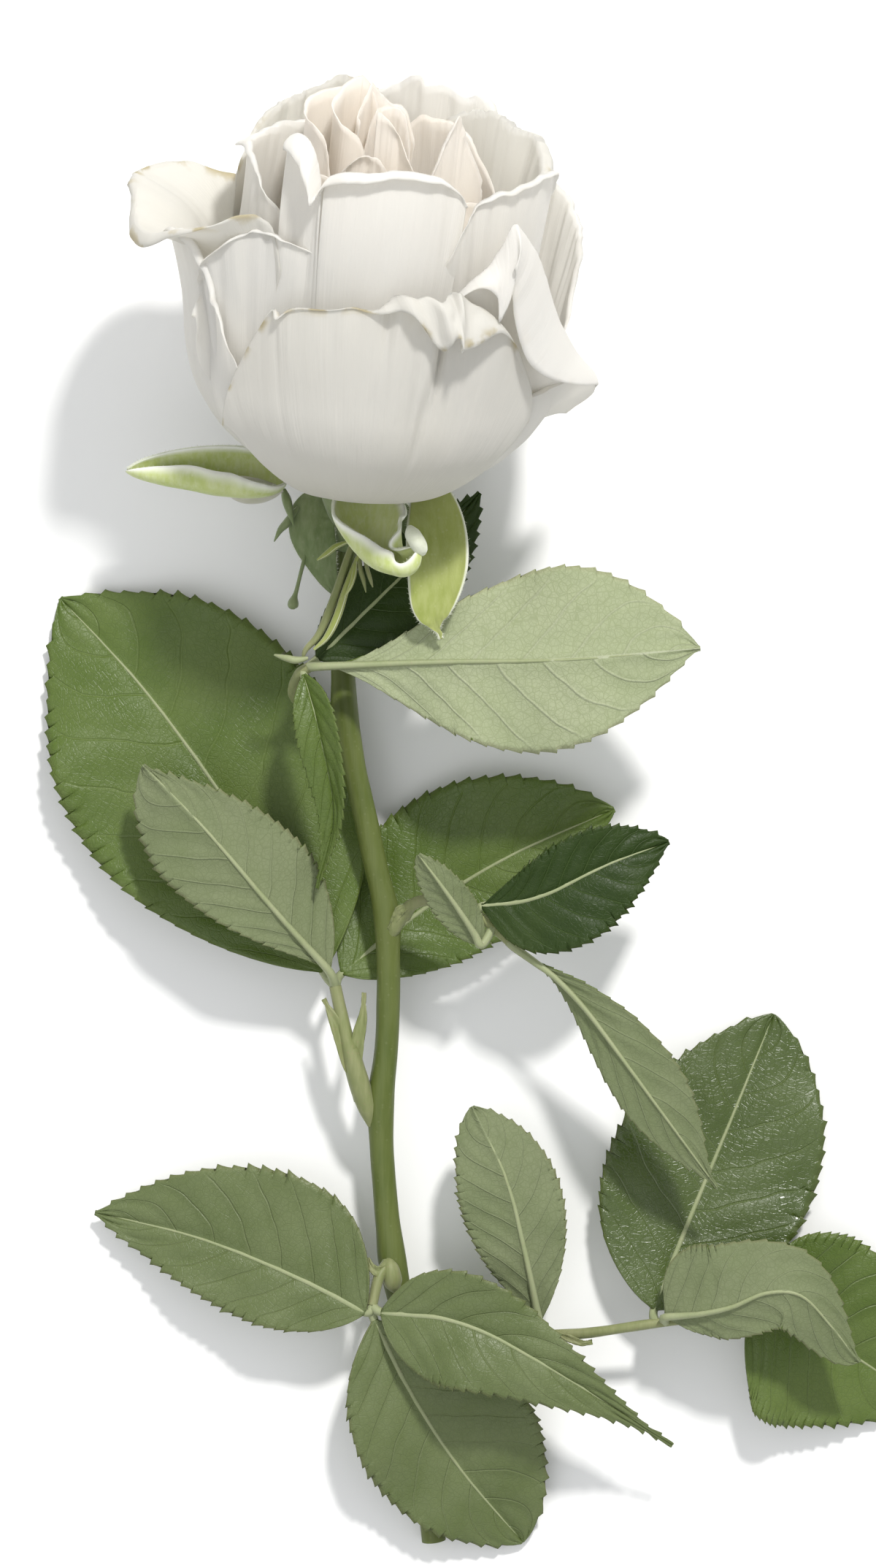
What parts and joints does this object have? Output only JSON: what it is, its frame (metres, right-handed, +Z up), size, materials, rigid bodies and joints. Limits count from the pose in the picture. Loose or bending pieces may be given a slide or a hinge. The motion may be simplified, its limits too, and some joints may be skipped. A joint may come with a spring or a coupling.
{
  "type": "cut rose",
  "caption": "Cut rose lying down: a full cupped bloom with curled petals and sepals on a slender stem with compound toothed leaves.",
  "frame": {"origin": "on the surface the rose lies on, under the middle of the whole rose", "axes": "+Y runs from the cut end of the stem towards the bloom, +X is to the right seen from above, +Z is up from the surface"},
  "size_m": [0.1691, 0.2834, 0.0792],
  "materials": {
    "petal": "soft satin, off-white with a cream throat and warm grey shade",
    "petal_inner": "soft satin, cream",
    "sepal": "matte pale green with a woolly white margin",
    "hip": "satin green",
    "stem": "smooth satin green bark, pale pith at the cut",
    "leaf_stalk": "satin pale green",
    "leaf": "semi-gloss dark green with pale veins",
    "leaf_underside": "matte grey-green with raised veins"
  },
  "bodies": {
    "root": {"hip": "hip", "leaf_stalk_a": "leaf_stalk", "leaf_stalk_b": "leaf_stalk", "leaf_stalk_c": "leaf_stalk", "leaf_stalk_d": "leaf_stalk", "leaf_stalk_e": "leaf_stalk", "leaflet_a_behind": "leaf", "leaflet_a_narrow": "leaf", "leaflet_a_right": "leaf_underside", "leaflet_b_front": "leaf_underside", "leaflet_b_left": "leaf", "leaflet_b_right": "leaf", "leaflet_c_hanging": "leaf_underside", "leaflet_c_right": "leaf", "leaflet_c_small": "leaf_underside", "leaflet_d_bottom": "leaf", "leaflet_d_left": "leaf", "leaflet_d_right": "leaf", "leaflet_e_front": "leaf_underside", "leaflet_e_large": "leaf", "leaflet_e_right": "leaf", "leaflet_e_upright": "leaf_underside", "petal_back_outer": "petal", "petal_bud_01": "petal_inner", "petal_bud_02": "petal_inner", "petal_bud_03": "petal_inner", "petal_bud_04": "petal_inner", "petal_bud_05": "petal_inner", "petal_bud_06": "petal_inner", "petal_bud_07": "petal_inner", "petal_bud_08": "petal_inner", "petal_bud_09": "petal_inner", "petal_bud_10": "petal_inner", "petal_front_inner": "petal", "petal_front_outer": "petal", "petal_left_back": "petal", "petal_left_curled": "petal", "petal_left_inner": "petal", "petal_left_outer": "petal", "petal_right_back": "petal", "petal_right_front": "petal", "petal_right_inner": "petal", "petal_right_low": "petal", "petal_top_back": "petal", "petal_top_right": "petal", "petal_upper_left": "petal", "sepal_back_left": "sepal", "sepal_front": "sepal", "sepal_left": "sepal", "sepal_right": "sepal", "sepal_under": "sepal", "stem": "stem"}
  },
  "joints": []
}
